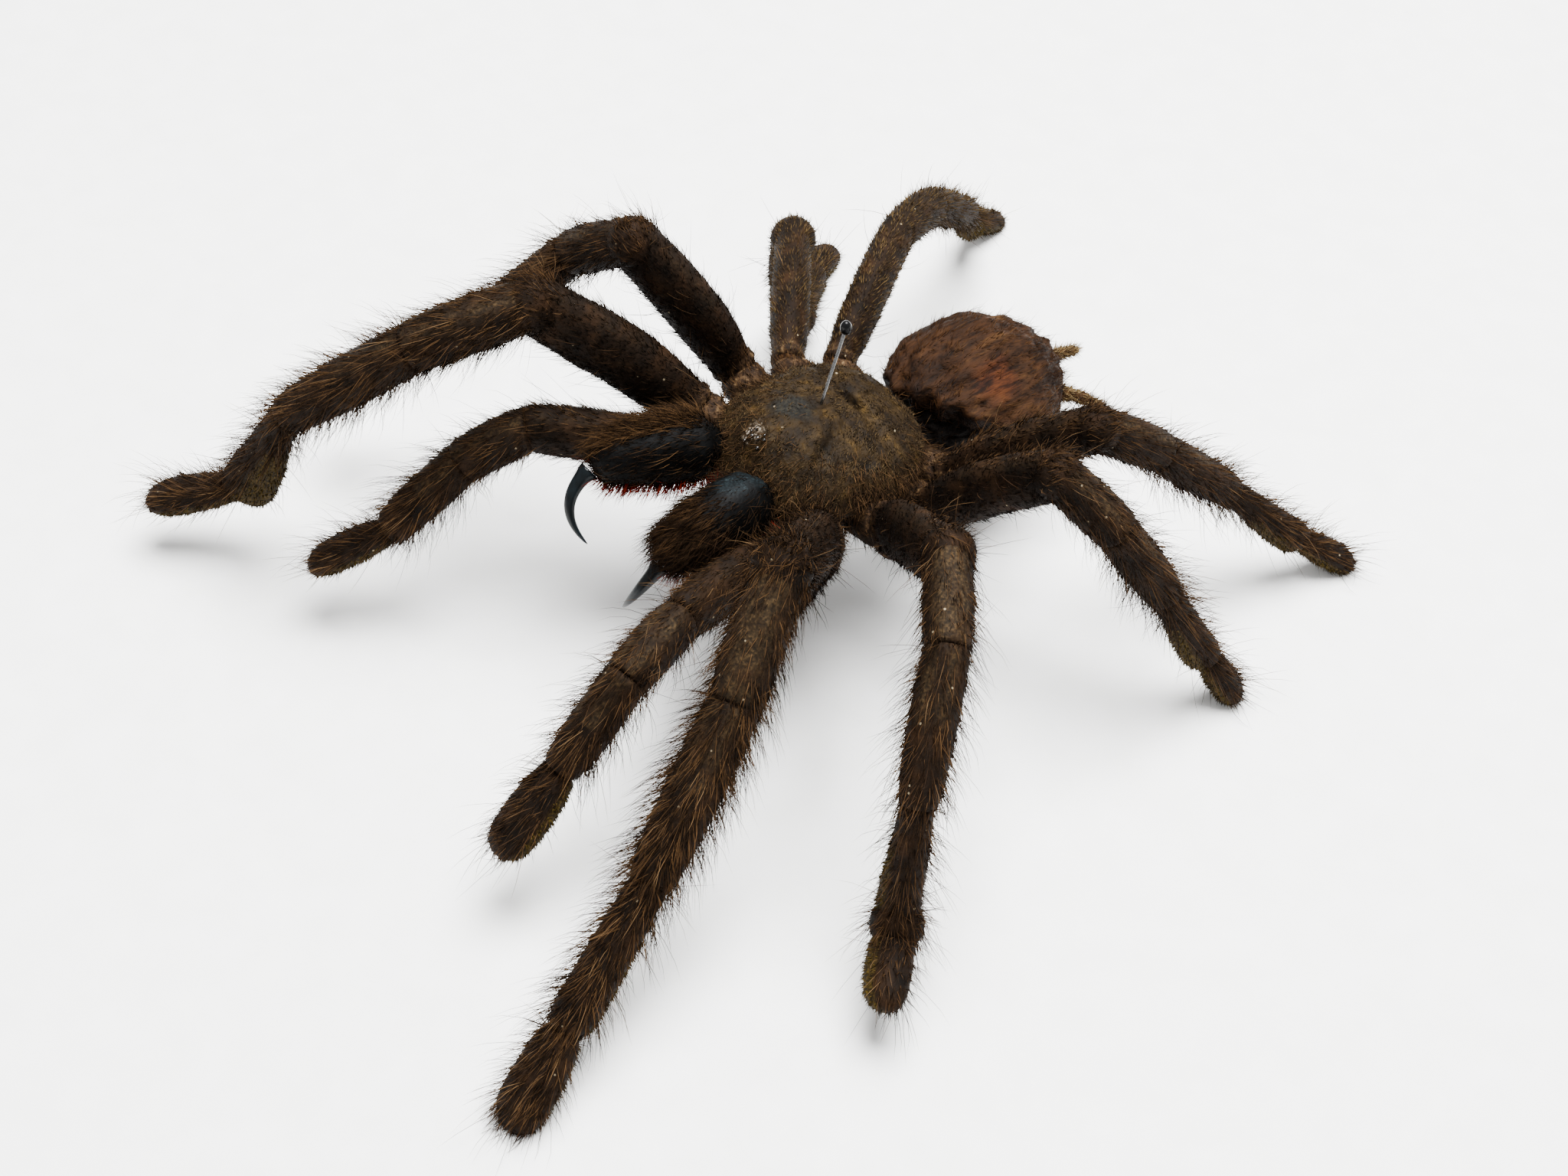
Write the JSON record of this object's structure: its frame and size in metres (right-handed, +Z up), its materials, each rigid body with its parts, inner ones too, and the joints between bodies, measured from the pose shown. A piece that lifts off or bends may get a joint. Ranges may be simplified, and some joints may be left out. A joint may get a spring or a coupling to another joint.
{
  "type": "pinned dried tarantula specimen",
  "caption": "Dried hairy tarantula with spread legs, raised front limbs and open fangs, on a thin ball-headed insect pin through its back, standing on its feet",
  "frame": {"origin": "centre of the bounding box in plan, on the surface the feet stand on", "axes": "+Z up, head towards -Y, the animal's left towards +X"},
  "size_m": [0.125, 0.1512, 0.0525],
  "materials": {
    "carapace_velvet": "short olive-brown pile over cuticle",
    "limb_fur": "dark brown combed hair",
    "abdomen_skin": "wrinkled dried skin with fine hair",
    "chelicera_cuticle": "black satin cuticle with tan hair",
    "fang_horn": "glossy blue-black",
    "spinneret_fur": "fuzzy tan",
    "pin_enamel": "black enamel"
  },
  "bodies": {
    "root": {"carapace": "carapace_velvet", "sternum_and_coxae": "limb_fur", "abdomen": "abdomen_skin", "chelicera_left": "chelicera_cuticle", "fang_left": "fang_horn", "spinneret_left": "spinneret_fur", "chelicera_right": "chelicera_cuticle", "fang_right": "fang_horn", "spinneret_right": "spinneret_fur", "pin": "pin_enamel", "palp_left_femur": "limb_fur", "palp_left_patella": "limb_fur", "palp_left_tibia": "limb_fur", "palp_left_tarsus": "limb_fur", "leg_left_1_femur": "limb_fur", "leg_left_1_patella": "limb_fur", "leg_left_1_tibia": "limb_fur", "leg_left_1_metatarsus": "limb_fur", "leg_left_1_tarsus": "limb_fur", "leg_left_2_femur": "limb_fur", "leg_left_2_patella": "limb_fur", "leg_left_2_tibia": "limb_fur", "leg_left_2_metatarsus": "limb_fur", "leg_left_2_tarsus": "limb_fur", "leg_left_3_femur": "limb_fur", "leg_left_3_patella": "limb_fur", "leg_left_3_tibia": "limb_fur", "leg_left_3_metatarsus": "limb_fur", "leg_left_3_tarsus": "limb_fur", "leg_left_4_femur": "limb_fur", "leg_left_4_patella": "limb_fur", "leg_left_4_tibia": "limb_fur", "leg_left_4_metatarsus": "limb_fur", "leg_left_4_tarsus": "limb_fur", "palp_right_femur": "limb_fur", "palp_right_patella": "limb_fur", "palp_right_tibia": "limb_fur", "palp_right_tarsus": "limb_fur", "leg_right_1_femur": "limb_fur", "leg_right_1_patella": "limb_fur", "leg_right_1_tibia": "limb_fur", "leg_right_1_metatarsus": "limb_fur", "leg_right_1_tarsus": "limb_fur", "leg_right_2_femur": "limb_fur", "leg_right_2_patella": "limb_fur", "leg_right_2_tibia": "limb_fur", "leg_right_2_metatarsus": "limb_fur", "leg_right_2_tarsus": "limb_fur", "leg_right_3_femur": "limb_fur", "leg_right_3_patella": "limb_fur", "leg_right_3_tibia": "limb_fur", "leg_right_3_metatarsus": "limb_fur", "leg_right_3_tarsus": "limb_fur", "leg_right_4_femur": "limb_fur", "leg_right_4_patella": "limb_fur", "leg_right_4_tibia": "limb_fur", "leg_right_4_metatarsus": "limb_fur", "leg_right_4_tarsus": "limb_fur"}
  },
  "joints": []
}
